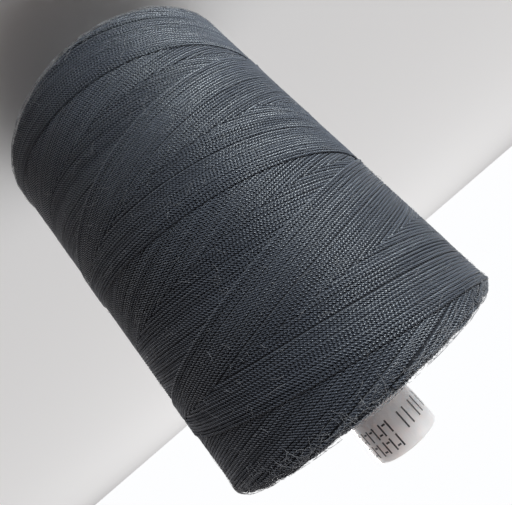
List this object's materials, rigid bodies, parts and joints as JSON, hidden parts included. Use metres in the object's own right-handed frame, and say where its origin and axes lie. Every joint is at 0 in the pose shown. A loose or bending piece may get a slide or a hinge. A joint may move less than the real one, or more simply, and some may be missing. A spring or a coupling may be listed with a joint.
{
  "type": "spool of thread",
  "caption": "Cylindrical cross-wound spool of slate grey sewing thread on a narrow white tube, open end to end for a spool pin.",
  "frame": {"origin": "centre of the tube's plain end face, which the spool stands on", "axes": "+Z along the spool's axis, towards the marked end of the tube; X and Y across it"},
  "size_m": [0.04, 0.04, 0.068],
  "materials": {
    "tube_plastic": "white moulded plastic with a soft satin gloss",
    "thread": "slate grey twisted polyester sewing thread, matt with a faint sheen"
  },
  "bodies": {
    "root": {"moulded_tube": "tube_plastic", "thread_package": "thread"}
  },
  "joints": []
}
